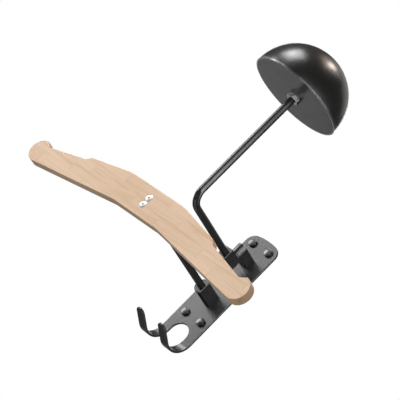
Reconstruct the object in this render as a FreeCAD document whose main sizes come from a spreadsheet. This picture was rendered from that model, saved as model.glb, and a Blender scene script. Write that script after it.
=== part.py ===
import FreeCAD, Part
import math
import os
import re
import Sketcher

# Wall rack: a bent steel plate with two prongs, a fixed rod with a wooden hanger board, and a bent rod
# with a helmet dome that swings on an upright pivot.
# Frame: millimetres, +X right, -Y away from the wall, +Z up. The wall face is y = 0, and the origin is
# the centre of the four wall screws.

Vector = FreeCAD.Vector
UPRIGHT = FreeCAD.Rotation()
OUTWARD = FreeCAD.Rotation(Vector(1, 0, 0), 90)      # a part's +Z points away from the wall
WALLWARD = FreeCAD.Rotation(Vector(1, 0, 0), -90)    # a part's +Z points into the wall
DOWNWARD = FreeCAD.Rotation(Vector(1, 0, 0), 180)
LEFTWARD = FreeCAD.Rotation(Vector(0, 1, 0), -90)    # a part's +Z points along -X

doc = FreeCAD.newDocument("wall_rack")

# ---------------------------------------------------------------- driving dimensions

SIZES = {
    # wall plate and its prongs
    "plate_width": 59.0,
    "plate_thickness": 3.0,
    "plate_top": 78.0,
    "plate_corner": 14.5,
    "plate_crown": 100.0,
    "plate_edge": 0.8,
    "bend_drop": 95.0,
    "bend_radius_inside": 24.0,
    "prong_turn": 110.0,
    "prong_straight": 30.0,
    "prong_tip_radius": 7.0,
    "slot_width": 30.0,
    "slot_drop": 92.6,
    # wall screws and caps
    "screw_across": 31.4,
    "screw_upright": 127.8,
    "wall_screw_radius": 2.25,
    "wall_neck_radius": 1.9,
    "wall_hole_radius": 2.5,
    "wall_screw_reach": 9.0,
    "wall_head_radius": 4.0,
    "wall_head_height": 2.0,
    "wall_head_round": 0.6,
    "wall_socket_flats": 3.0,
    "cap_radius": 5.9,
    "cap_height": 3.6,
    "cap_crown": 0.8,
    "cap_round": 0.6,
    # rods and their D-section sleeves
    "rod_radius": 5.0,
    "fit_gap": 0.05,
    "hole_spare": 0.5,
    "overshoot": 1.0,
    "sleeve_radius": 10.6,
    "sleeve_flat": 6.0,
    "sleeve_top": 8.7,
    "sleeve_chamfer": 0.6,
    "hanger_drop": 31.1,
    "hanger_sleeve_length": 31.5,
    "hanger_rod_depth": 13.5,
    "helmet_rise": 19.7,
    "helmet_sleeve_length": 26.6,
    "helmet_sleeve_stand": 17.0,
    "helmet_rod_depth": 12.0,
    # pivot of the helmet arm
    "pivot_stand": 26.3,
    "pivot_radius": 3.0,
    "lug_thickness": 15.6,
    "lug_bottom": 30.1,
    "lug_width": 14.7,
    "lug_chamfer": 0.5,
    "bolt_head_radius": 5.6,
    "bolt_socket_flats": 4.0,
    "bolt_socket_depth": 2.0,
    "bolt_tail": 1.0,
    "bush_radius": 4.0,
    "spot_face_radius": 7.4,
    "spot_face_drop": 9.4,
    "washer_radius": 7.0,
    "lower_washer_thickness": 1.2,
    "play": 0.05,
    "nut_flats": 10.0,
    "nut_height": 6.0,
    # fasteners behind the plate
    "base_screw_radius": 2.5,
    "base_head_radius": 5.0,
    "base_screw_length": 14.0,
    "base_socket_flats": 3.0,
    "base_socket_depth": 1.6,
    "base_pin_radius": 1.5,
    "base_pin_length": 7.0,
    "lug_screw_offset": 2.0,
    "lug_pin_offset": 5.0,
    "sleeve_pin_offset": 7.2,
    "grub_radius": 2.5,
    "grub_length": 4.8,
    "grub_setback": 6.5,
    "grub_socket_flats": 2.5,
    "grub_socket_depth": 1.9,
    # hanger board
    "board_stand": 200.0,
    "board_thickness": 13.0,
    "board_edge": 0.8,
    "board_top_half": 52.0,
    "board_top_drop": 10.3,
    "notch_half": 121.0,
    "notch_drop": 23.2,
    "notch_step_half": 128.3,
    "notch_step_drop": 29.8,
    "notch_end_half": 190.7,
    "notch_end_drop": 43.6,
    "knob_centre_half": 199.0,
    "knob_centre_drop": 54.6,
    "knob_radius": 16.7,
    "knob_low_angle": -97.4,
    "knob_high_angle": 84.8,
    "board_low_half": 42.0,
    "board_low_drop": 52.4,
    "board_shoulder_radius": 60.0,
    "boss_radius": 11.0,
    "boss_length": 14.0,
    "boss_rod_depth": 8.0,
    "boss_chamfer": 0.8,
    "board_screw_radius": 2.5,
    "board_screw_half_pitch": 5.4,
    "board_screw_depth": 5.0,
    "board_head_radius": 5.0,
    "board_head_rise": 1.2,
    "board_socket_flats": 3.0,
    "board_socket_depth": 1.3,
    # helmet rod and dome
    "helmet_reach": 157.6,
    "rod_bend_radius": 19.0,
    "dome_radius": 66.9,
    "dome_centre_height": 209.5,
    "dome_base_height": 208.0,
    "dome_thickness": 2.4,
    "dome_rim_round": 0.5,
    "base_gap": 0.25,
    "base_thickness": 3.0,
    "hub_radius": 11.0,
    "hub_height": 12.0,
    "insert_radius": 7.0,
    "insert_length": 11.8,
    "ledge_height": 3.1,
    "ledge_top": 5.2,
    "ledge_depth": 2.0,
    "rod_thread_depth": 12.0,
    "rib_height": 8.0,
    "rib_thickness": 2.0,
    "rib_end_radius": 58.9,
    "rib_end_height": 4.0,
    "lock_nut_flats": 17.0,
    "lock_nut_height": 6.0,
    "nut_chamfer_share": 0.06,
}

sheet = doc.addObject("Spreadsheet::Sheet", "Sizes")
for row, (name, value) in enumerate(SIZES.items(), start=1):
    sheet.set(f"A{row}", name)
    sheet.set(f"B{row}", str(value))
    sheet.setAlias(f"B{row}", name)
doc.recompute()


def with_sheet(expression):
    """Put the sheet's name before each of its aliases in an expression."""
    return re.sub("[a-z_]+", lambda word: "Sizes." * (word[0] in SIZES) + word[0], expression)


def size(expression):
    """The present value of an expression, as a plain number."""
    return float(sheet.evalExpression(expression))


def bind(item, **expressions):
    """Bind properties of an object to expressions of the sheet's aliases."""
    for name, expression in expressions.items():
        item.setExpression(name, with_sheet(expression))


def place(item, x="0", y="0", z="0", turn=UPRIGHT):
    """Give an object its turn, and bind its position."""
    item.Placement = FreeCAD.Placement(Vector(size(x), size(y), size(z)), turn)
    for axis, expression in (("x", x), ("y", y), ("z", z)):
        item.setExpression(f"Placement.Base.{axis}", with_sheet(expression))
    return item


# ---------------------------------------------------------------- Part helpers


def cylinder(name, radius, height, x="0", y="0", z="0", turn=UPRIGHT):
    item = doc.addObject("Part::Cylinder", name)
    bind(item, Radius=radius, Height=height)
    return place(item, x, y, z, turn)


def cone(name, start_radius, end_radius, height, x="0", y="0", z="0", turn=UPRIGHT):
    item = doc.addObject("Part::Cone", name)
    bind(item, Radius1=start_radius, Radius2=end_radius, Height=height)
    return place(item, x, y, z, turn)


def box(name, length, width, height, x="0", y="0", z="0"):
    item = doc.addObject("Part::Box", name)
    bind(item, Length=length, Width=width, Height=height)
    return place(item, x, y, z)


def sphere(name, radius, x="0", y="0", z="0"):
    item = doc.addObject("Part::Sphere", name)
    bind(item, Radius=radius)
    return place(item, x, y, z)


def hexagon(name, flats, height, x="0", y="0", z="0", turn=UPRIGHT):
    item = doc.addObject("Part::Prism", name)
    item.Polygon = 6
    bind(item, Circumradius=f"{flats} / 2 / cos(30)", Height=height)
    return place(item, x, y, z, turn)


def fuse(name, *items):
    item = doc.addObject("Part::MultiFuse", name)
    item.Shapes = list(items)
    item.Refine = True
    return item


def cut(name, base, *tools):
    """Cut one or more tools from a base, one after the other."""
    tool = tools[0] if len(tools) == 1 else fuse(name + "_tools", *tools)
    item = doc.addObject("Part::Cut", name)
    item.Base = base
    item.Tool = tool
    item.Refine = True
    return item


def common(name, first, second):
    item = doc.addObject("Part::MultiCommon", name)
    item.Shapes = [first, second]
    return item


def mirror(name, source, normal):
    item = doc.addObject("Part::Mirroring", name)
    item.Source = source
    item.Base = Vector(0, 0, 0)
    item.Normal = normal
    return item


def group(name, *items):
    item = doc.addObject("Part::Compound", name)
    item.Links = list(items)
    return item


def bevel(name, source, width, wanted, kind="Part::Chamfer"):
    """Chamfer or fillet the edges of a source that the wanted test picks."""
    doc.recompute()
    edges = enumerate(source.Shape.Edges, start=1)
    item = doc.addObject(kind, name)
    item.Base = source
    item.Edges = [(number, width, width) for number, edge in edges if wanted(edge)]
    return item


def flat_rim(depth):
    """A test for the closed edges that lie flat at a depth from the wall."""
    y = size(depth)

    def is_rim(edge):
        span = edge.BoundBox
        return edge.isClosed() and span.YLength < 1e-6 and abs(span.YMin - y) < 1e-6

    return is_rim


# ---------------------------------------------------------------- PartDesign helpers


def body_plane(body, role):
    return next(item for item in body.Origin.OriginFeatures if item.Role == role)


def new_sketch(body, name, role):
    sketch = body.newObject("Sketcher::SketchObject", name)
    sketch.AttachmentSupport = [(body_plane(body, role), "")]
    sketch.MapMode = "FlatFace"
    return sketch


def arc_between(start, end, radius):
    """The shorter arc from start to end: counterclockwise for a positive radius."""
    chord = end - start
    rise = math.sqrt(max(radius * radius - chord.Length ** 2 / 4, 0))
    left = Vector(-chord.y, chord.x, 0).normalize() * math.copysign(rise, radius)
    centre = (start + end) * 0.5 + left
    first, last = (start, end) if radius > 0 else (end, start)
    angles = [math.atan2(point.y - centre.y, point.x - centre.x) for point in (first, last)]
    circle = Part.Circle(centre, Vector(0, 0, 1), abs(radius))
    return Part.ArcOfCircle(circle, angles[0], angles[1])


def bind_last(sketch, expression):
    sketch.setExpression(f"Constraints[{sketch.ConstraintCount - 1}]", with_sheet(expression))


def draw(sketch, corners, closed=True):
    """Draw lines and arcs through corners, with each corner bound to the sheet.

    A corner is (x, y) or (x, y, radius): a radius makes the next stretch an arc.
    """
    points = [Vector(size(corner[0]), size(corner[1]), 0) for corner in corners]
    stretches = len(corners) if closed else len(corners) - 1
    ends = []
    for number in range(stretches):
        start = points[number]
        end = points[(number + 1) % len(points)]
        if len(corners[number]) == 2:
            edge = sketch.addGeometry(Part.LineSegment(start, end))
            ends.append((edge, 1, 2))
            continue
        radius = size(corners[number][2])
        edge = sketch.addGeometry(arc_between(start, end, radius))
        ends.append((edge, 1, 2) if radius > 0 else (edge, 2, 1))
        sketch.addConstraint(Sketcher.Constraint("Radius", edge, abs(radius)))
        bind_last(sketch, f"abs({corners[number][2]})")
    for number in range(stretches if closed else stretches - 1):
        this = ends[number]
        following = ends[(number + 1) % stretches]
        sketch.addConstraint(
            Sketcher.Constraint("Coincident", this[0], this[2], following[0], following[1])
        )
    for number, (edge, start, end) in enumerate(ends):
        fix_point(sketch, edge, start, corners[number])
    if not closed:
        fix_point(sketch, ends[-1][0], ends[-1][2], corners[-1])
    return sketch


def fix_point(sketch, edge, end, corner):
    for kind, expression in (("DistanceX", corner[0]), ("DistanceY", corner[1])):
        sketch.addConstraint(Sketcher.Constraint(kind, edge, end, size(expression)))
        bind_last(sketch, expression)


def draw_circle(sketch, radius, x="0", y="0"):
    centre = Vector(size(x), size(y), 0)
    edge = sketch.addGeometry(Part.Circle(centre, Vector(0, 0, 1), size(radius)))
    sketch.addConstraint(Sketcher.Constraint("Radius", edge, size(radius)))
    bind_last(sketch, radius)
    fix_point(sketch, edge, 3, (x, y))


def pad(body, name, sketch, length, both_sides=False):
    feature = body.newObject("PartDesign::Pad", name)
    feature.Profile = sketch
    if both_sides:
        feature.SideType = "Symmetric"
    bind(feature, Length=length)
    return feature


def pocket_through(body, name, sketch):
    """Cut a sketch right through the body, both ways from its plane."""
    feature = body.newObject("PartDesign::Pocket", name)
    feature.Profile = sketch
    feature.Type = "ThroughAll"
    feature.SideType = "Symmetric"
    return feature


def countersink(body, name, head_radius, shank_radius, x, y, z, turn):
    """Cut the seat of a 90 degree screw head, with its wide end at the given place."""
    sink = body.newObject("PartDesign::SubtractiveCone", name)
    bind(
        sink,
        Radius1=f"{head_radius} + fit_gap",
        Radius2=f"{shank_radius} + fit_gap",
        Height=f"{head_radius} - {shank_radius}",
    )
    return place(sink, x, y, z, turn)


def soften(body, name, kind, radius, wanted):
    """Fillet or chamfer the edges of the body that the wanted test picks."""
    doc.recompute()
    base = body.Tip
    names = [f"Edge{n}" for n, edge in enumerate(base.Shape.Edges, start=1) if wanted(edge)]
    feature = body.newObject(kind, name)
    feature.Base = (base, names)
    bind(feature, **{"Radius" if kind.endswith("Fillet") else "Size": radius})
    return feature


def new_body(label):
    body = doc.addObject("PartDesign::Body", label)
    body.Label = label
    return body


def is_straight_along(edge, direction):
    if not isinstance(edge.Curve, Part.Line):
        return False
    return edge.tangentAt(edge.FirstParameter).cross(direction).Length < 1e-6


# ---------------------------------------------------------------- common places

FRONT = "(-plate_thickness)"
PIVOT_Y = "(-plate_thickness - pivot_stand)"
LUG_MIDDLE = "(lug_bottom + lug_width / 2)"
LUG_TOP = "(lug_bottom + lug_width)"
ARM_Y = "(-plate_thickness - helmet_reach)"
HELMET_SLEEVE_BACK = "(-plate_thickness - helmet_sleeve_stand)"
HELMET_MOUTH = "(-plate_thickness - helmet_sleeve_stand - helmet_sleeve_length)"
HANGER_MOUTH = "(-plate_thickness - hanger_sleeve_length)"
BOARD_BACK = "(-plate_thickness - board_stand)"
BOARD_FRONT = "(-plate_thickness - board_stand - board_thickness)"
ROD_BORE = "(rod_radius + fit_gap)"
SLEEVE_TOP = "(helmet_rise + sleeve_top)"
SPOT_BOTTOM = "(helmet_rise - spot_face_drop)"
WASHER_BOTTOM = f"({SPOT_BOTTOM} - play - lower_washer_thickness)"
NUT_BOTTOM = f"({WASHER_BOTTOM} - nut_height)"
BASE_SCREW_PLACES = [("0", "-hanger_drop"), ("-lug_screw_offset", LUG_MIDDLE)]
BASE_PIN_PLACES = [("-sleeve_pin_offset", "-hanger_drop"), ("lug_pin_offset", LUG_MIDDLE)]


# ---------------------------------------------------------------- wall plate


def wall_plate():
    """Bent sheet: flat outline, prongs from a side profile, a slot that splits them, and holes."""
    body = new_body("wall_plate")
    half = "plate_width / 2"
    corner_x = "(plate_width / 2 - plate_corner)"
    lift = f"sqrt((plate_crown - plate_corner)^2 - {corner_x}^2)"
    spread = "plate_crown / (plate_crown - plate_corner)"
    side_top = f"plate_top - plate_crown + {lift}"
    crown_x = f"{corner_x} * {spread}"
    crown_z = f"plate_top - plate_crown + {lift} * {spread}"
    flat = draw(
        new_sketch(body, "plate_outline", "XZ_Plane"),
        [
            (f"-{half}", "-bend_drop"),
            (half, "-bend_drop"),
            (half, side_top, "plate_corner"),
            (crown_x, crown_z, "plate_crown"),
            (f"-{crown_x}", crown_z, "plate_corner"),
            (f"-{half}", side_top),
        ],
    )
    pad(body, "plate_flat", flat, "plate_thickness")

    inside = "bend_radius_inside"
    outside = "(bend_radius_inside + plate_thickness)"
    centre_y = f"-{outside}"
    run = "(prong_straight * sin(prong_turn))"
    rise = "(prong_straight * -cos(prong_turn))"

    def at_bend(radius, extra_y="0", extra_z="0"):
        y = f"{centre_y} + {radius} * cos(prong_turn) - {extra_y}"
        z = f"-bend_drop - {radius} * sin(prong_turn) + {extra_z}"
        return y, z

    prongs = draw(
        new_sketch(body, "prong_profile", "YZ_Plane"),
        [
            ("0", "-bend_drop", f"-{outside}"),
            at_bend(outside),
            at_bend(outside, run, rise),
            at_bend(inside, run, rise),
            (*at_bend(inside), inside),
            ("-plate_thickness", "-bend_drop"),
        ],
    )
    pad(body, "prong_strip", prongs, "plate_width", both_sides=True)

    slot = draw(
        new_sketch(body, "slot_outline", "XZ_Plane"),
        [
            ("slot_width / 2", "-slot_drop", "slot_width / 2"),
            ("0", "slot_width / 2 - slot_drop", "slot_width / 2"),
            ("-slot_width / 2", "-slot_drop"),
            ("-slot_width / 2", "-2 * slot_drop"),
            ("slot_width / 2", "-2 * slot_drop"),
        ],
    )
    pocket_through(body, "slot", slot)

    tip_y = size("-(bend_radius_inside + prong_straight)")

    def is_tip_corner(edge):
        return edge.CenterOfMass.y < tip_y and edge.Length < size("plate_thickness") * 1.01

    soften(body, "prong_tips", "PartDesign::Fillet", "prong_tip_radius", is_tip_corner)

    def is_sheet_edge(edge):
        """True for the edges that run round the sheet, and not for the seams across or through it."""
        across = is_straight_along(edge, Vector(1, 0, 0)) and edge.CenterOfMass.y > tip_y
        return not across and abs(edge.Length - size("plate_thickness")) > 0.01

    soften(body, "plate_edges", "PartDesign::Fillet", "plate_edge", is_sheet_edge)

    holes = new_sketch(body, "hole_places", "XZ_Plane")
    for side in ("-", ""):
        for level in ("-", ""):
            draw_circle(holes, "wall_hole_radius", f"{side}screw_across / 2", f"{level}screw_upright / 2")
    for x, z in BASE_SCREW_PLACES:
        draw_circle(holes, "base_screw_radius + fit_gap", x, z)
    for x, z in BASE_PIN_PLACES:
        draw_circle(holes, "base_pin_radius + fit_gap", x, z)
    pocket_through(body, "holes", holes)

    for number, (x, z) in enumerate(BASE_SCREW_PLACES):
        countersink(body, f"countersink_{number}", "base_head_radius", "base_screw_radius",
                    x, "0", z, OUTWARD)
    return body


# ---------------------------------------------------------------- wall screws and caps


def at_four_corners(label, source):
    """Repeat a solid at the four wall screws, as one node of four separate solids."""
    across = mirror(label + "_across", source, Vector(1, 0, 0))
    below = mirror(label + "_below", source, Vector(0, 0, 1))
    opposite = mirror(label + "_opposite", across, Vector(0, 0, 1))
    return group(label, source, across, below, opposite)


def wall_screws():
    x = "screw_across / 2"
    z = "screw_upright / 2"
    tip = "wall_screw_radius / 2"
    head = cylinder("wall_head", "wall_head_radius", "wall_head_height", x, FRONT, z, OUTWARD)
    rim = flat_rim(f"{FRONT} - wall_head_height")
    round_head = bevel("wall_head_soft", head, size("wall_head_round"), rim, "Part::Fillet")
    neck = cylinder("wall_neck", "wall_neck_radius", "plate_thickness", x, FRONT, z, WALLWARD)
    shank_length = f"wall_screw_reach - {tip}"
    shank = cylinder("wall_shank", "wall_screw_radius", shank_length, x, "0", z, WALLWARD)
    point = cone("wall_point", "wall_screw_radius", tip, tip, x, shank_length, z, WALLWARD)
    socket_y = f"{FRONT} - wall_head_height / 2"
    socket = hexagon("wall_socket", "wall_socket_flats", "wall_head_height", x, socket_y, z, OUTWARD)
    screw = cut("wall_screw", fuse("wall_screw_blank", round_head, neck, shank, point), socket)
    return at_four_corners("wall_screws", screw)


def screw_caps():
    x = "screw_across / 2"
    z = "screw_upright / 2"
    ball_radius = "((cap_radius^2 + cap_crown^2) / (2 * cap_crown))"
    ball = sphere("cap_ball", ball_radius, x, f"{FRONT} - cap_height + {ball_radius}", z)
    disc = cylinder("cap_disc", "cap_radius", "cap_height", x, FRONT, z, OUTWARD)
    hollow = cylinder("cap_hollow", "wall_head_radius + fit_gap", "wall_head_height + fit_gap",
                      x, FRONT, z, OUTWARD)
    rim = flat_rim(f"{FRONT} - cap_height + cap_crown")
    soft = bevel("cap_soft", common("cap_crowned", ball, disc), size("cap_round"), rim, "Part::Fillet")
    return at_four_corners("screw_caps", cut("screw_cap", soft, hollow))


# ---------------------------------------------------------------- fasteners behind the plate


def base_screws():
    screws = []
    for number, (x, z) in enumerate(BASE_SCREW_PLACES):
        head_height = "base_head_radius - base_screw_radius"
        head = cone(f"base_head_{number}", "base_head_radius", "base_screw_radius", head_height,
                    x, "-fit_gap", z, OUTWARD)
        shank = cylinder(f"base_shank_{number}", "base_screw_radius", "base_screw_length",
                         x, "-fit_gap", z, OUTWARD)
        socket = hexagon(f"base_socket_{number}", "base_socket_flats", "base_socket_depth",
                         x, "-fit_gap", z, OUTWARD)
        screws.append(cut(f"base_screw_{number}", fuse(f"base_blank_{number}", head, shank), socket))
    return group("base_screws", *screws)


def base_pins():
    pins = []
    for number, (x, z) in enumerate(BASE_PIN_PLACES):
        pins.append(cylinder(f"base_pin_{number}", "base_pin_radius", "base_pin_length - fit_gap",
                             x, "-fit_gap", z, OUTWARD))
    return group("base_pins", *pins)


# ---------------------------------------------------------------- sleeves and pivot


def d_bar(name, back, length, rod_depth, z, level_top=False):
    """A round bar with a flat on its right, made level on top if asked, and the tools that bore it."""
    mouth = f"{back} - {length}"
    beyond = f"{mouth} - {length} / 2"
    bar = cylinder(name + "_bar", "sleeve_radius", length, "0", back, z, OUTWARD)
    flats = [box(name + "_flat", "sleeve_radius", f"2 * {length}", "4 * sleeve_radius",
                 "sleeve_flat", beyond, f"{z} - 2 * sleeve_radius")]
    if level_top:
        corner = box(name + "_corner", "sleeve_radius", length, "sleeve_top", "-sleeve_radius", mouth, z)
        bar = fuse(name + "_block", bar, corner)
        flats.append(box(name + "_level", "4 * sleeve_radius", f"2 * {length}", "sleeve_radius",
                         "-2 * sleeve_radius", beyond, f"{z} + sleeve_top"))
    outline = cut(name + "_outline", bar, *flats)
    mouth_y = size(mouth)
    soft = bevel(name + "_soft", outline, size("sleeve_chamfer"),
                 lambda edge: abs(edge.BoundBox.YMax - mouth_y) < 1e-6)
    bore = cylinder(name + "_bore", ROD_BORE, rod_depth, "0", f"{mouth} + {rod_depth}", z, OUTWARD)
    grub = cylinder(name + "_grub_hole", "grub_radius + fit_gap", "sleeve_radius",
                    "0", f"{mouth} + grub_setback", z, LEFTWARD)
    return soft, [bore, grub]


def hanger_sleeve():
    soft, tools = d_bar("hanger_sleeve", FRONT, "hanger_sleeve_length", "hanger_rod_depth", "-hanger_drop")
    hole = cylinder("hanger_sleeve_hole", "base_screw_radius + fit_gap", "base_screw_length + hole_spare",
                    "0", "0", "-hanger_drop", OUTWARD)
    pin = cylinder("hanger_sleeve_pin_hole", "base_pin_radius + fit_gap", "base_pin_length + hole_spare",
                   "-sleeve_pin_offset", "0", "-hanger_drop", OUTWARD)
    return cut("hanger_sleeve", soft, *tools, hole, pin)


def helmet_sleeve():
    z = "helmet_rise"
    soft, tools = d_bar("helmet_sleeve", HELMET_SLEEVE_BACK, "helmet_sleeve_length", "helmet_rod_depth", z,
                        level_top=True)
    cross = cylinder("helmet_cross_bore", "bush_radius + fit_gap", "4 * sleeve_radius",
                     "0", PIVOT_Y, f"{z} - 2 * sleeve_radius")
    spot = cylinder("helmet_spot_face", "spot_face_radius", "sleeve_radius",
                    "0", PIVOT_Y, SPOT_BOTTOM, DOWNWARD)
    return cut("helmet_sleeve", soft, *tools, cross, spot)


def pivot_lug():
    half = "lug_thickness / 2"
    block = box("lug_block", "lug_thickness", "pivot_stand", "lug_width", f"-{half}", PIVOT_Y, "lug_bottom")
    eye = cylinder("lug_eye", half, "lug_width", "0", PIVOT_Y, "lug_bottom")
    blank = fuse("lug_blank", block, eye)
    front_y = size(FRONT)
    levels = (size("lug_bottom"), size(LUG_TOP))

    def is_end_edge(edge):
        flat = edge.BoundBox.ZLength < 1e-6 and any(abs(edge.BoundBox.ZMin - z) < 1e-6 for z in levels)
        return flat and edge.BoundBox.YMin < front_y - 1e-6

    soft = bevel("lug_soft", blank, size("lug_chamfer"), is_end_edge)
    bore = cylinder("lug_bore", "pivot_radius + fit_gap", "2 * lug_width",
                    "0", PIVOT_Y, "lug_bottom - overshoot")
    sink = cone("lug_countersink", "bolt_head_radius + fit_gap", "pivot_radius + fit_gap",
                "bolt_head_radius - pivot_radius", "0", PIVOT_Y, LUG_TOP, DOWNWARD)
    hole = cylinder("lug_screw_hole", "base_screw_radius + fit_gap", "base_screw_length + hole_spare",
                    "-lug_screw_offset", "0", LUG_MIDDLE, OUTWARD)
    pin = cylinder("lug_pin_hole", "base_pin_radius + fit_gap", "base_pin_length + hole_spare",
                   "lug_pin_offset", "0", LUG_MIDDLE, OUTWARD)
    return cut("pivot_lug", soft, bore, sink, hole, pin)


def pivot_bolt():
    """A countersunk bolt whose head lies just under the lug's top face."""
    top = f"({LUG_TOP} - fit_gap)"
    shank_bottom = f"({NUT_BOTTOM} - bolt_tail)"
    head = cone("bolt_head", "bolt_head_radius", "pivot_radius", "bolt_head_radius - pivot_radius",
                "0", PIVOT_Y, top, DOWNWARD)
    shank = cylinder("bolt_shank", "pivot_radius", f"{top} - {shank_bottom}", "0", PIVOT_Y, top, DOWNWARD)
    socket = hexagon("bolt_socket", "bolt_socket_flats", "bolt_socket_depth", "0", PIVOT_Y, top, DOWNWARD)
    return cut("pivot_bolt", fuse("bolt_blank", head, shank), socket)


def ring(label, outer, inner, height, z, y=PIVOT_Y):
    """A plain upright ring, such as a washer or a bush."""
    body = cylinder(label + "_outside", outer, height, "0", y, z)
    hole = cylinder(label + "_inside", inner, f"3 * {height}", "0", y, f"{z} - {height}")
    return cut(label, body, hole)


def hex_nut(label, flats, height, hole_radius, y, z):
    """A hexagon nut whose corners are chamfered at both ends."""
    prism = hexagon(label + "_prism", flats, height, "0", y, z)
    corner = f"{flats} / 2 / cos(30)"
    round_blank = cylinder(label + "_round", corner, height, "0", y, z)
    chamfered = bevel(label + "_chamfered", round_blank, size(f"{flats} * nut_chamfer_share"),
                      lambda edge: edge.isClosed() and edge.BoundBox.ZLength < 1e-6)
    hole = cylinder(label + "_hole", hole_radius, f"3 * {height}", "0", y, f"{z} - {height}")
    return cut(label, common(label + "_blank", prism, chamfered), hole)


# ---------------------------------------------------------------- rods and hanger


def helmet_rod():
    """A round bar swept along a line, a quarter bend and a line."""
    body = new_body("helmet_rod")
    back = f"({HELMET_MOUTH} + helmet_rod_depth)"
    path = draw(
        new_sketch(body, "helmet_rod_path", "YZ_Plane"),
        [
            (back, "helmet_rise"),
            (f"{ARM_Y} + rod_bend_radius", "helmet_rise", "-rod_bend_radius"),
            (ARM_Y, "helmet_rise + rod_bend_radius"),
            (ARM_Y, "dome_base_height + rod_thread_depth"),
        ],
        closed=False,
    )
    section = new_sketch(body, "helmet_rod_section", "XZ_Plane")
    section.AttachmentOffset = FreeCAD.Placement(Vector(0, 0, -size(back)), FreeCAD.Rotation())
    section.setExpression("AttachmentOffset.Base.z", with_sheet(f"-{back}"))
    draw_circle(section, "rod_radius", "0", "helmet_rise")
    sweep = body.newObject("PartDesign::AdditivePipe", "helmet_rod_sweep")
    sweep.Profile = section
    sweep.Spine = (path, ["Edge1", "Edge2", "Edge3"])
    return body


def hanger_rod():
    back = f"({HANGER_MOUTH} + hanger_rod_depth)"
    front = f"({BOARD_BACK} + boss_length - boss_rod_depth)"
    return cylinder("hanger_rod", "rod_radius", f"{back} - {front}", "0", back, "-hanger_drop", OUTWARD)


def hanger_boss():
    back = f"({BOARD_BACK} + boss_length)"
    z = "-hanger_drop"
    blank = cylinder("boss_blank", "boss_radius", "boss_length", "0", back, z, OUTWARD)
    soft = bevel("boss_soft", blank, size("boss_chamfer"),
                 lambda edge: edge.isClosed() and edge.BoundBox.YLength < 1e-6)
    bore = cylinder("boss_bore", ROD_BORE, "boss_rod_depth + overshoot",
                    "0", f"{back} + overshoot", z, OUTWARD)
    holes = []
    for side in ("+", "-"):
        holes.append(cylinder(f"boss_hole_{len(holes)}", "board_screw_radius + fit_gap",
                              "board_screw_depth + hole_spare + overshoot", "0", f"{BOARD_BACK} - overshoot",
                              f"{z} {side} board_screw_half_pitch", WALLWARD))
    return cut("hanger_boss", soft, bore, *holes)


def hanger_board():
    """A flat board: raised middle, a strap notch on each arm, and a round knob at each end."""
    body = new_body("hanger_board")

    def knob(angle):
        x = f"(knob_centre_half + knob_radius * cos({angle}))"
        return x, f"-knob_centre_drop + knob_radius * sin({angle})"

    lower_right = [("board_low_half", "-board_low_drop")]
    knob_arcs = [
        (*knob("knob_low_angle"), "knob_radius"),
        (*knob("0"), "knob_radius"),
        knob("knob_high_angle"),
    ]
    upper_right = [
        ("notch_end_half", "-notch_end_drop"),
        ("notch_step_half", "-notch_step_drop"),
        ("notch_half", "-notch_drop"),
        ("board_top_half", "-board_top_drop"),
    ]
    right = lower_right + knob_arcs + upper_right
    left = [(f"-{corner[0]}", corner[1]) for corner in reversed(right)]
    knob_start = left.index((f"-{knob_arcs[2][0]}", knob_arcs[2][1]))
    for number in (knob_start, knob_start + 1):
        left[number] = (*left[number], "knob_radius")
    outline = draw(new_sketch(body, "board_outline", "XZ_Plane"), right + left)
    pad(body, "board_blank", outline, "board_thickness")

    holes = new_sketch(body, "board_hole_places", "XZ_Plane")
    for side in ("+", "-"):
        z = f"-hanger_drop {side} board_screw_half_pitch"
        draw_circle(holes, "board_screw_radius + 2 * fit_gap", "0", z)
    pocket_through(body, "board_holes", holes)
    for number, side in enumerate(("+", "-")):
        z = f"-hanger_drop {side} board_screw_half_pitch"
        countersink(body, f"board_countersink_{number}", "board_head_radius", "board_screw_radius",
                    "0", "-board_thickness", z, WALLWARD)

    shoulders = (size("board_top_half"), size("board_low_half"))

    def is_shoulder(edge):
        at_shoulder = any(abs(abs(edge.CenterOfMass.x) - x) < 0.01 for x in shoulders)
        return at_shoulder and is_straight_along(edge, Vector(0, 1, 0))

    soften(body, "board_shoulders", "PartDesign::Fillet", "board_shoulder_radius", is_shoulder)

    def is_outline(edge):
        return edge.BoundBox.YLength < 1e-6 and not edge.isClosed()

    soften(body, "board_edges", "PartDesign::Fillet", "board_edge", is_outline)
    return place(body, "0", BOARD_BACK, "0")


def hanger_screws():
    """Two raised countersunk screws through the board into the boss."""
    screws = []
    rim_y = f"{BOARD_FRONT} + fit_gap"
    ball_radius = "((board_head_radius^2 + board_head_rise^2) / (2 * board_head_rise))"
    ball_y = f"{rim_y} - board_head_rise + {ball_radius}"
    for number, side in enumerate(("+", "-")):
        z = f"-hanger_drop {side} board_screw_half_pitch"
        ball = sphere(f"board_ball_{number}", ball_radius, "0", ball_y, z)
        front = cylinder(f"board_front_{number}", "2 * board_head_radius", "2 * board_head_rise",
                         "0", rim_y, z, OUTWARD)
        crown = common(f"board_crown_{number}", ball, front)
        head = cone(f"board_head_{number}", "board_head_radius", "board_screw_radius",
                    "board_head_radius - board_screw_radius", "0", rim_y, z, WALLWARD)
        shank = cylinder(f"board_shank_{number}", "board_screw_radius",
                         "board_thickness + board_screw_depth", "0", rim_y, z, WALLWARD)
        socket = hexagon(f"board_socket_{number}", "board_socket_flats", "2 * board_socket_depth",
                         "0", f"{rim_y} - board_head_rise + board_socket_depth", z, OUTWARD)
        blank = fuse(f"board_screw_blank_{number}", crown, head, shank)
        screws.append(cut(f"board_screw_{number}", blank, socket))
    return group("hanger_screws", *screws)


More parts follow.
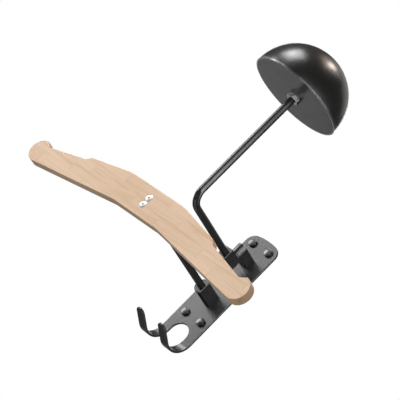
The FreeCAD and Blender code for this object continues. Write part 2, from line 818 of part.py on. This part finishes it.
def grub_screw(label, mouth, z):
    y = f"{mouth} + grub_setback"
    start = "-rod_radius - fit_gap"
    stud = cylinder(label + "_stud", "grub_radius", "grub_length", start, y, z, LEFTWARD)
    socket = hexagon(label + "_socket", "grub_socket_flats", "grub_length",
                     f"{start} - grub_length + grub_socket_depth", y, z, LEFTWARD)
    return cut(label, stud, socket)


# ---------------------------------------------------------------- helmet dome


def dome_base():
    """Flat closing disc with a hub for the insert and six ribs, revolved about the rod's axis."""
    body = new_body("dome_base")
    bore = "insert_radius + fit_gap"
    rim = "dome_radius - dome_thickness - base_gap"
    profile = draw(
        new_sketch(body, "dome_base_profile", "XZ_Plane"),
        [
            (bore, "0"),
            (rim, "0"),
            (rim, "base_thickness"),
            ("hub_radius", "base_thickness"),
            ("hub_radius", "hub_height"),
            (bore, "hub_height"),
        ],
    )
    disc = body.newObject("PartDesign::Revolution", "dome_base_disc")
    disc.Profile = profile
    disc.ReferenceAxis = (profile, ["V_Axis"])
    disc.Angle = 360

    rib_outline = draw(
        new_sketch(body, "rib_outline", "XZ_Plane"),
        [
            ("hub_radius - overshoot", "base_thickness / 2"),
            ("rib_end_radius", "base_thickness / 2"),
            ("rib_end_radius", "rib_end_height"),
            ("hub_radius - overshoot", "rib_height"),
        ],
    )
    rib = pad(body, "rib", rib_outline, "rib_thickness", both_sides=True)
    doc.recompute()
    ribs = body.newObject("PartDesign::PolarPattern", "ribs")
    ribs.Originals = [rib]
    ribs.Axis = (body_plane(body, "Z_Axis"), [""])
    ribs.Angle = 360
    ribs.Occurrences = 6
    body.Tip = ribs
    return place(body, "0", ARM_Y, "dome_base_height")


def dome_insert():
    bottom = "dome_base_height + 2 * fit_gap"
    return ring("dome_insert", "insert_radius", ROD_BORE, "insert_length", bottom, ARM_Y)


def dome_shell():
    """Hollow hemisphere with a ledge inside its rim that the base rests against."""
    body = new_body("dome_shell")
    centre = "(dome_centre_height - dome_base_height)"
    inner = "(dome_radius - dome_thickness)"
    outer_rim = f"sqrt(dome_radius^2 - {centre}^2)"
    ledge_x = f"sqrt({inner}^2 - (ledge_top - {centre})^2)"
    profile = draw(
        new_sketch(body, "dome_shell_profile", "XZ_Plane"),
        [
            (inner, "0"),
            (outer_rim, "0", "dome_radius"),
            ("0", f"{centre} + dome_radius"),
            ("0", f"{centre} + {inner}", f"-{inner}"),
            (ledge_x, "ledge_top"),
            (f"{inner} - ledge_depth", "ledge_top"),
            (f"{inner} - ledge_depth", "ledge_height"),
            (inner, "ledge_height"),
        ],
    )
    shell = body.newObject("PartDesign::Revolution", "dome_shell_turned")
    shell.Profile = profile
    shell.ReferenceAxis = (profile, ["V_Axis"])
    shell.Angle = 360

    rim = size(outer_rim)

    def is_rim(edge):
        return edge.BoundBox.ZLength < 1e-6 and abs(edge.BoundBox.XMax - rim) < 1e-3

    soften(body, "dome_rim", "PartDesign::Fillet", "dome_rim_round", is_rim)
    return place(body, "0", ARM_Y, "dome_base_height")


# ---------------------------------------------------------------- build, check, export


def build():
    bush_length = f"({SLEEVE_TOP} - {SPOT_BOTTOM} - 4 * fit_gap)"
    friction_thickness = f"(lug_bottom - {SLEEVE_TOP} - play)"
    pivot_hole = "pivot_radius + fit_gap"
    return [
        wall_plate(),
        wall_screws(),
        screw_caps(),
        base_screws(),
        base_pins(),
        hanger_sleeve(),
        grub_screw("hanger_grub_screw", HANGER_MOUTH, "-hanger_drop"),
        hanger_rod(),
        hanger_boss(),
        hanger_board(),
        hanger_screws(),
        pivot_lug(),
        pivot_bolt(),
        ring("friction_washer", "washer_radius", pivot_hole, friction_thickness, f"{SLEEVE_TOP} + play"),
        ring("lower_washer", "washer_radius", pivot_hole, "lower_washer_thickness", WASHER_BOTTOM),
        hex_nut("pivot_nut", "nut_flats", "nut_height", pivot_hole, PIVOT_Y, NUT_BOTTOM),
        helmet_sleeve(),
        ring("pivot_bush", "bush_radius", pivot_hole, bush_length, f"{SPOT_BOTTOM} + 2 * fit_gap"),
        grub_screw("helmet_grub_screw", HELMET_MOUTH, "helmet_rise"),
        helmet_rod(),
        hex_nut("dome_lock_nut", "lock_nut_flats", "lock_nut_height", ROD_BORE, ARM_Y,
                "dome_base_height - lock_nut_height"),
        dome_base(),
        dome_insert(),
        dome_shell(),
    ]


def check_document(nodes):
    """Stop before anything is written if an object failed or a cut missed."""
    failed = [item.Name for item in doc.Objects if {"Invalid", "Error"} & set(item.State)]
    if failed:
        raise RuntimeError(f"failed objects: {failed}")
    for item in doc.Objects:
        if item.isDerivedFrom("PartDesign::Pocket") and item.Shape.Volume >= item.BaseFeature.Shape.Volume:
            raise RuntimeError(f"{item.Name} cut nothing")
    for node in nodes:
        if node.Shape.isNull() or not node.Shape.isValid() or not node.Shape.Solids:
            raise RuntimeError(f"{node.Label} has no valid shape")


nodes = build()
doc.recompute()
check_document(nodes)
os.makedirs("parts", exist_ok=True)
for node in nodes:
    node.Shape.exportStep(f"parts/{node.Label}.step")
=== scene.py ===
import math

import bmesh
import bpy
from mathutils import Matrix, Vector


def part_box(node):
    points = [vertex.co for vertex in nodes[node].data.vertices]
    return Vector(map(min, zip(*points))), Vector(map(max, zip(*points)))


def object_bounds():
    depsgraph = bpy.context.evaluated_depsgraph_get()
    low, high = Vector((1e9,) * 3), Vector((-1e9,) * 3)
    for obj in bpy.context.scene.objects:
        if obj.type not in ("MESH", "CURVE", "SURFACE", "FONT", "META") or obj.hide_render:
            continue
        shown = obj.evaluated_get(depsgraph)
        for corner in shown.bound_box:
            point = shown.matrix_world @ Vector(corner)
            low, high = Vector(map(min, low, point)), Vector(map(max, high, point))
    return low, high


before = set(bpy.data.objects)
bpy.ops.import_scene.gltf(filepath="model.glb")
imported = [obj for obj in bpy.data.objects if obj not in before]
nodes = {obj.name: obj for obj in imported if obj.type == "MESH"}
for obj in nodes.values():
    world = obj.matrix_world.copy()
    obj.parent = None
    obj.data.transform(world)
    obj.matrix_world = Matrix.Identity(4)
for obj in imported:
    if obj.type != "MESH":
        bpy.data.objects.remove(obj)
cad_low, cad_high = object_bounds()
scene = bpy.context.scene

# ---------------------------------------------------------------- camera

AZIMUTH = math.radians(43.33)
ELEVATION = math.radians(-12.63)
ROLL = math.radians(45.0)
TARGET = Vector((-0.0433, -0.1041, 0.0424))
DISTANCE = 2.335
LENS_MM = 164.02
SENSOR_MM = 36.0
CLIP_NEAR = 0.05
CLIP_FAR = 50.0


def direction(azimuth, elevation):
    """The direction from the object towards a viewer at that azimuth and elevation."""
    flat = math.cos(elevation)
    return Vector((math.sin(azimuth) * flat, -math.cos(azimuth) * flat, math.sin(elevation)))


def sideways(azimuth):
    """The level direction to the right of a viewer at that azimuth."""
    return Vector((math.cos(azimuth), math.sin(azimuth), 0.0))


def make_camera():
    """A camera aimed at the target and rolled about its own line of sight."""
    back = direction(AZIMUTH, ELEVATION)
    level = sideways(AZIMUTH)
    right = level * math.cos(ROLL) + back.cross(level) * math.sin(ROLL)
    up = back.cross(right)
    data = bpy.data.cameras.new("camera")
    data.lens = LENS_MM
    data.sensor_width = SENSOR_MM
    data.clip_start = CLIP_NEAR
    data.clip_end = CLIP_FAR
    camera = bpy.data.objects.new("camera", data)
    turn = Matrix((right, up, back)).transposed().to_4x4()
    camera.matrix_world = Matrix.Translation(TARGET + back * DISTANCE) @ turn
    scene.collection.objects.link(camera)
    scene.camera = camera


# ---------------------------------------------------------------- studio

SEEN_STRENGTH = 1.0
LIT_STRENGTH = 0.12
FLOOR_DROP = 2.5
FLOOR_RADIUS = 30.0
LIGHT_DISTANCE = 4.0
WHITE = (1.0, 1.0, 1.0)
WARM = (1.0, 0.87, 0.78)
AMBER = (1.0, 0.80, 0.66)
OLIVE = (1.0, 1.0, 0.93)

# name, azimuth and elevation of its middle in degrees, width and height in degrees, radiance, colour
SOFT_BOXES = [
    ("key", -45.0, 45.0, 30.0, 26.0, 9.3, WHITE),
    ("key_core", -49.0, 43.5, 14.0, 10.0, 8.0, WHITE),
    ("low_left", -55.0, 6.0, 14.0, 28.0, 14.5, WHITE),
    ("plate_wash", -42.0, 10.0, 12.0, 20.0, 2.0, WHITE),
    ("wash_left", -28.0, 15.0, 14.0, 16.0, 2.0, WHITE),
    ("far_left", -85.0, 6.0, 20.0, 24.0, 1.9, WHITE),
    ("near_right", 36.0, 8.0, 28.0, 16.0, 5.5, WHITE),
    ("middle_right", 70.0, 7.0, 34.0, 18.0, 8.8, WHITE),
    ("far_right", 104.0, 6.0, 28.0, 18.0, 5.0, WHITE),
    ("top", -155.0, 78.0, 6.0, 15.0, 24.0, WARM),
    ("top_near", 50.0, 86.0, 10.0, 10.0, 3.0, WARM),
    ("top_halo", -152.0, 78.0, 26.0, 26.0, 1.6, AMBER),
    ("back_left", -140.0, 18.0, 40.0, 22.0, 3.2, WHITE),
    ("back_high", -168.0, 45.0, 40.0, 30.0, 0.6, OLIVE),
    ("under_left", -110.0, -14.0, 60.0, 16.0, 0.6, WHITE),
    ("under_back", 180.0, -60.0, 40.0, 30.0, 1.0, WHITE),
    ("under", 20.0, -78.0, 50.0, 40.0, 1.1, WHITE),
]


def box_side(angle):
    """The side that spans that many degrees at the lights' distance."""
    return 2.0 * LIGHT_DISTANCE * math.tan(math.radians(angle / 2.0))


def soft_box(name, azimuth, elevation, width, height, glow, colour):
    """A soft box that faces the rack, with its width level."""
    toward = direction(math.radians(azimuth), math.radians(elevation))
    level = sideways(math.radians(azimuth))
    data = bpy.data.lights.new(name, "AREA")
    data.shape = "RECTANGLE"
    data.size = box_side(width)
    data.size_y = box_side(height)
    data.energy = glow * math.pi * data.size * data.size_y
    data.color = colour
    lamp = bpy.data.objects.new(name, data)
    turn = Matrix((level, toward.cross(level), toward)).transposed().to_4x4()
    lamp.matrix_world = Matrix.Translation(TARGET + toward * LIGHT_DISTANCE) @ turn
    lamp.visible_camera = False
    scene.collection.objects.link(lamp)


def make_lights():
    for box in SOFT_BOXES:
        soft_box(*box)


def make_world():
    """A white surround to look at, and a dimmer grey one to light by."""
    world = bpy.data.worlds.new("studio")
    scene.world = world
    world.use_nodes = True
    tree = world.node_tree
    tree.nodes.clear()

    def white(strength):
        node = tree.nodes.new("ShaderNodeBackground")
        node.inputs["Color"].default_value = (1.0, 1.0, 1.0, 1.0)
        node.inputs["Strength"].default_value = strength
        return node.outputs["Background"]

    output = tree.nodes.new("ShaderNodeOutputWorld")
    path = tree.nodes.new("ShaderNodeLightPath")
    mix = tree.nodes.new("ShaderNodeMixShader")
    tree.links.new(path.outputs["Is Camera Ray"], mix.inputs["Fac"])
    tree.links.new(white(LIT_STRENGTH), mix.inputs[1])
    tree.links.new(white(SEEN_STRENGTH), mix.inputs[2])
    tree.links.new(mix.outputs["Shader"], output.inputs["Surface"])


def make_floor():
    """A pale disc that gives off its own light and neither lights, mirrors in nor shades the rack.

    It lies so far down that a camera looking up at the rack still stands above it.
    """
    mesh = bpy.data.meshes.new("floor")
    shape = bmesh.new()
    bmesh.ops.create_circle(shape, cap_ends=True, segments=96, radius=FLOOR_RADIUS)
    shape.to_mesh(mesh)
    shape.free()
    floor = bpy.data.objects.new("floor", mesh)
    floor.location = (0.0, 0.0, cad_low.z - FLOOR_DROP)
    scene.collection.objects.link(floor)
    made = Paint("floor_pale")
    speckle = made.noise(40.0)
    made.ramp_to("Base Color", speckle, [(0.3, (0.150, 0.150, 0.148)), (0.7, (0.165, 0.165, 0.163))])
    made.ramp_to("Emission Color", speckle, [(0.3, 0.83), (0.7, 0.85)])
    made.set("Emission Strength", 1.0)
    made.set("Specular IOR Level", 0.1)
    made.set("Roughness", 0.9)
    floor.data.materials.append(made.material)
    floor.visible_diffuse = False
    floor.visible_glossy = False
    floor.visible_shadow = False


# ---------------------------------------------------------------- materials


class Paint:
    """A Principled material and short ways to put procedural nodes on it."""

    def __init__(self, name):
        self.material = bpy.data.materials.new(name)
        self.material.use_nodes = True
        self.tree = self.material.node_tree
        self.shader = next(n for n in self.tree.nodes if n.type == "BSDF_PRINCIPLED")
        coordinates = self.tree.nodes.new("ShaderNodeTexCoord")
        self.place = coordinates.outputs["Object"]
        self.normal = coordinates.outputs["Normal"]

    def link(self, source, target):
        self.tree.links.new(source, target)

    def set(self, socket, value):
        self.shader.inputs[socket].default_value = value

    def stretch(self, scale, vector=None, turn=(0.0, 0.0, 0.0), shift=(0.0, 0.0, 0.0)):
        """Coordinates scaled per axis, then turned, then shifted: the object's own, or another vector."""
        node = self.tree.nodes.new("ShaderNodeMapping")
        node.inputs["Scale"].default_value = scale
        node.inputs["Rotation"].default_value = turn
        node.inputs["Location"].default_value = shift
        self.link(self.place if vector is None else vector, node.inputs["Vector"])
        return node.outputs["Vector"]

    def along(self, vector, axis):
        """One axis of a vector."""
        node = self.tree.nodes.new("ShaderNodeSeparateXYZ")
        self.link(vector, node.inputs["Vector"])
        return node.outputs[axis]

    def noise(self, scale, detail=3.0, rough=0.5, vector=None, distortion=0.0):
        node = self.tree.nodes.new("ShaderNodeTexNoise")
        node.inputs["Scale"].default_value = scale
        node.inputs["Detail"].default_value = detail
        node.inputs["Roughness"].default_value = rough
        node.inputs["Distortion"].default_value = distortion
        self.link(self.place if vector is None else vector, node.inputs["Vector"])
        return node.outputs["Fac"]

    def cells(self, scale):
        node = self.tree.nodes.new("ShaderNodeTexVoronoi")
        node.inputs["Scale"].default_value = scale
        self.link(self.place, node.inputs["Vector"])
        return node.outputs["Distance"]

    def math(self, operation, first, second):
        node = self.tree.nodes.new("ShaderNodeMath")
        node.operation = operation
        for socket, value in zip(node.inputs, (first, second)):
            if isinstance(value, (int, float)):
                socket.default_value = value
            else:
                self.link(value, socket)
        return node.outputs["Value"]

    def ramp(self, source, stops):
        """A colour ramp over a 0 to 1 value, as (position, colour or grey) stops."""
        node = self.tree.nodes.new("ShaderNodeValToRGB")
        points = node.color_ramp.elements
        while len(points) < len(stops):
            points.new(0.5)
        for point, (position, colour) in zip(points, stops):
            point.position = position
            grey = (colour, colour, colour) if isinstance(colour, (int, float)) else colour
            point.color = (*grey, 1.0)
        self.link(source, node.inputs["Fac"])
        return node.outputs["Color"]

    def ramp_to(self, socket, source, stops):
        self.link(self.ramp(source, stops), self.shader.inputs[socket])

    def tint(self, amount, first, second):
        """The first colour multiplied by the second, by that share."""
        node = self.tree.nodes.new("ShaderNodeMix")
        node.data_type = "RGBA"
        node.blend_type = "MULTIPLY"
        node.inputs[0].default_value = amount
        self.link(first, node.inputs[6])
        self.link(second, node.inputs[7])
        return node.outputs[2]

    def bump(self, height, strength, distance, under=None):
        node = self.tree.nodes.new("ShaderNodeBump")
        node.inputs["Strength"].default_value = strength
        node.inputs["Distance"].default_value = distance
        self.link(height, node.inputs["Height"])
        if under is not None:
            self.link(under, node.inputs["Normal"])
        return node.outputs["Normal"]

    def bump_to(self, normal):
        self.link(normal, self.shader.inputs["Normal"])


# noise scales per metre: broad mottle, patches of gloss, orange peel and fine speckle
MOTTLE = 22.0
PATCHES = 65.0
PEEL = 900.0
FLECKS = 2600.0
# how much of a coat's tone comes from the speckle, the rest being the mottle
FLECK_SHARE = 0.25


def scaled(colour, amount):
    return tuple(channel * amount for channel in colour)


def coat(name, colour, rough, peel, gloss=0.5, patchy=1.0):
    """Powder coat: fine leathery peel, a faint speckle, and slightly uneven gloss."""
    made = Paint(name)
    cloud = made.math("MULTIPLY", made.noise(MOTTLE), 1.0 - FLECK_SHARE)
    fleck = made.math("MULTIPLY", made.noise(FLECKS, detail=2.0, rough=0.6), FLECK_SHARE)
    tone = made.math("ADD", cloud, fleck)
    made.ramp_to("Base Color", tone, [
        (0.30, scaled(colour, 0.80)),
        (0.50, colour),
        (0.70, scaled(colour, 1.22)),
    ])
    made.ramp_to("Roughness", made.noise(PATCHES), [
        (0.30, rough - 0.04 * patchy),
        (0.70, rough + 0.05 * patchy),
    ])
    made.set("Specular IOR Level", gloss)
    made.bump_to(made.bump(made.noise(PEEL, detail=2.0), peel, 0.0001))
    return made.material


def dome_coat(name):
    """The coat on the dome, rubbed bright along the narrow edge of its rim."""
    made = Paint(name)
    colour = (0.0066, 0.0062, 0.0059)
    rubbed_height = 0.0020
    ragged_height = 0.0004
    fade_height = 0.0025
    rub_ends = 0.10
    plain_starts = 0.55
    cloud = made.noise(MOTTLE)
    made.ramp_to("Base Color", cloud, [(0.3, scaled(colour, 0.85)), (0.7, scaled(colour, 1.15))])
    rim_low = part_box("dome_shell")[0].z
    ragged = made.math("MULTIPLY", made.noise(300.0, detail=2.0), ragged_height)
    above = made.math("SUBTRACT", made.along(made.place, "Z"), rim_low + rubbed_height)
    share = made.math("MULTIPLY", made.math("ADD", above, ragged), 1.0 / fade_height)
    rough = made.ramp(cloud, [(0.3, 0.27), (0.7, 0.31)])
    smoother = made.ramp(share, [(rub_ends, 0.8), (plain_starts, 1.0)])
    made.link(made.tint(1.0, rough, smoother), made.shader.inputs["Roughness"])
    made.ramp_to("Specular IOR Level", share, [(rub_ends, 1.0), (plain_starts, 0.5)])
    made.ramp_to("Coat Weight", share, [(rub_ends, 1.0), (plain_starts, 0.0)])
    made.set("Coat Roughness", 0.42)
    made.bump_to(made.bump(made.noise(PEEL, detail=2.0), 0.02, 0.0001))
    return made.material


def bright_steel(name, colour, rough, turning):
    """Plated steel: clean metal with fine turning marks and a few dull patches."""
    made = Paint(name)
    made.set("Metallic", 1.0)
    marks = made.noise(1.0, detail=4.0, vector=made.stretch(turning))
    made.ramp_to("Base Color", marks, [(0.25, scaled(colour, 0.86)), (0.75, colour)])
    made.ramp_to("Roughness", made.noise(260.0), [(0.3, rough - 0.05), (0.75, rough + 0.08)])
    made.bump_to(made.bump(marks, 0.08, 0.00005))
    return made.material


def moulded(name, colour, rough):
    """Moulded plastic: a fine even texture and a slight mottle."""
    made = Paint(name)
    cloud = made.noise(30.0, detail=2.0)
    made.ramp_to("Base Color", cloud, [(0.3, scaled(colour, 0.92)), (0.7, scaled(colour, 1.08))])
    made.ramp_to("Roughness", made.noise(500.0, detail=2.0), [(0.3, rough - 0.05), (0.7, rough + 0.05)])
    made.bump_to(made.bump(made.cells(1600.0), 0.06, 0.00006))
    return made.material


def laminated_wood(name):
    """Pale laminated board: staggered strips, short joint marks, fibre, pores and dark end grain."""
    made = Paint(name)
    strip_length = 0.086
    strip_height = 0.0135
    squeeze = 6.0
    # the brick pattern is laid in the board's own plane, squeezed along the board so that end joints show
    # wider than the glue lines
    flat = made.stretch(
        (1.0 / squeeze, 1.0, 1.0),
        turn=(math.radians(-90.0), 0.0, 0.0),
        shift=(0.0031, 0.0, 0.0),
    )

    def strips(light, dark, seam):
        node = made.tree.nodes.new("ShaderNodeTexBrick")
        node.offset = 0.37
        node.inputs["Scale"].default_value = 1.0
        node.inputs["Brick Width"].default_value = strip_length / squeeze
        node.inputs["Row Height"].default_value = strip_height
        node.inputs["Mortar Size"].default_value = 0.00012
        node.inputs["Mortar Smooth"].default_value = 0.5
        node.inputs["Bias"].default_value = 0.0
        node.inputs["Color1"].default_value = (*light, 1.0)
        node.inputs["Color2"].default_value = (*dark, 1.0)
        node.inputs["Mortar"].default_value = (*seam, 1.0)
        made.link(flat, node.inputs["Vector"])
        return node.outputs["Color"]

    tones = strips((0.600, 0.445, 0.325), (0.560, 0.402, 0.280), (0.525, 0.368, 0.254))
    # each strip starts its grain at another place
    parted = strips((0.0, 0.0, 0.0), (1.0, 1.0, 1.0), (0.5, 0.5, 0.5))
    shifted = made.tree.nodes.new("ShaderNodeVectorMath")
    shifted.operation = "MULTIPLY_ADD"
    made.link(parted, shifted.inputs[0])
    shifted.inputs[1].default_value = (0.9, 0.0, 0.31)
    made.link(made.place, shifted.inputs[2])

    def fibres(length_scale, width_scale):
        return made.stretch((length_scale, width_scale, width_scale), shifted.outputs["Vector"])

    growth = made.noise(1.0, detail=3.0, rough=0.55, vector=fibres(11.0, 210.0), distortion=0.8)
    fibre = made.noise(1.0, detail=4.0, rough=0.6, vector=fibres(45.0, 1500.0))
    pores = made.noise(1.0, detail=2.0, rough=0.4, vector=fibres(190.0, 3400.0))
    grain = made.ramp(growth, [
        (0.30, (0.86, 0.80, 0.72)),
        (0.50, (0.98, 0.97, 0.95)),
        (0.70, (1.0, 1.0, 1.0)),
    ])
    lines = made.ramp(fibre, [(0.30, (0.90, 0.87, 0.83)), (0.60, (1.0, 1.0, 1.0))])
    dots = made.ramp(pores, [(0.26, (0.66, 0.56, 0.47)), (0.36, (1.0, 1.0, 1.0))])
    toned = made.tint(0.9, tones, grain)
    toned = made.tint(0.65, toned, lines)
    toned = made.tint(0.35, toned, dots)
    warm = made.ramp(made.noise(9.0, detail=1.0), [(0.35, (0.96, 0.94, 0.91)), (0.65, (1.0, 1.0, 1.0))])
    toned = made.tint(1.0, toned, warm)
    # cut ends drink more finish than the long faces and look darker
    end = made.math("ABSOLUTE", made.along(made.normal, "X"), 0.0)
    darker = made.ramp(end, [(0.15, (1.0, 1.0, 1.0)), (0.75, (0.47, 0.43, 0.38))])
    toned = made.tint(1.0, toned, darker)
    made.link(toned, made.shader.inputs["Base Color"])
    made.ramp_to("Roughness", growth, [(0.3, 0.62), (0.7, 0.54)])
    made.set("Specular IOR Level", 0.3)
    under = made.bump(fibre, 0.03, 0.0002)
    made.bump_to(made.bump(pores, 0.02, 0.0002, under))
    return made.material


SATIN_BLACK = (0.012, 0.012, 0.0122)


def make_materials():
    rod = coat("rod_satin_black", SATIN_BLACK, 0.20, peel=0.02)
    sleeve = coat("sleeve_satin_black", SATIN_BLACK, 0.24, peel=0.03)
    plate = coat("plate_satin_black", SATIN_BLACK, 0.34, peel=0.04, gloss=0.62)
    cap = coat("cap_satin_black", SATIN_BLACK, 0.28, peel=0.02, gloss=0.70)
    shell = dome_coat("dome_satin_black")
    base = coat("dome_base_black", (0.0135, 0.0125, 0.0110), 0.32, peel=0.01, patchy=0.25)
    nylon = moulded("nylon_black", (0.030, 0.030, 0.031), 0.42)
    black = bright_steel("black_oxide_steel", (0.10, 0.10, 0.105), 0.34, (900.0, 900.0, 120.0))
    nut = bright_steel("satin_nickel", (0.42, 0.42, 0.425), 0.32, (300.0, 300.0, 60.0))
    zinc = bright_steel("zinc_steel", (0.62, 0.63, 0.65), 0.30, (700.0, 700.0, 160.0))
    bright = bright_steel("satin_steel", (0.68, 0.67, 0.65), 0.45, (500.0, 120.0, 500.0))
    brass = bright_steel("insert_brass", (0.72, 0.52, 0.24), 0.30, (700.0, 700.0, 160.0))
    wood = laminated_wood("laminated_pale_wood")
    return {
        "wall_plate": plate,
        "wall_screws": zinc,
        "screw_caps": cap,
        "base_screws": black,
        "base_pins": black,
        "hanger_sleeve": sleeve,
        "hanger_grub_screw": black,
        "hanger_rod": rod,
        "hanger_boss": sleeve,
        "hanger_board": wood,
        "hanger_screws": bright,
        "pivot_lug": sleeve,
        "pivot_bolt": black,
        "friction_washer": nylon,
        "lower_washer": zinc,
        "pivot_nut": zinc,
        "helmet_sleeve": sleeve,
        "pivot_bush": nylon,
        "helmet_grub_screw": black,
        "helmet_rod": rod,
        "dome_lock_nut": nut,
        "dome_base": base,
        "dome_insert": brass,
        "dome_shell": shell,
    }


def dress_nodes():
    for name, material in make_materials().items():
        slots = nodes[name].data.materials
        if not slots:
            slots.append(material)
        for number in range(len(slots)):
            slots[number] = material


# ---------------------------------------------------------------- build

make_camera()
make_world()
make_floor()
make_lights()
dress_nodes()

scene.view_settings.view_transform = "Standard"
scene.view_settings.look = "None"
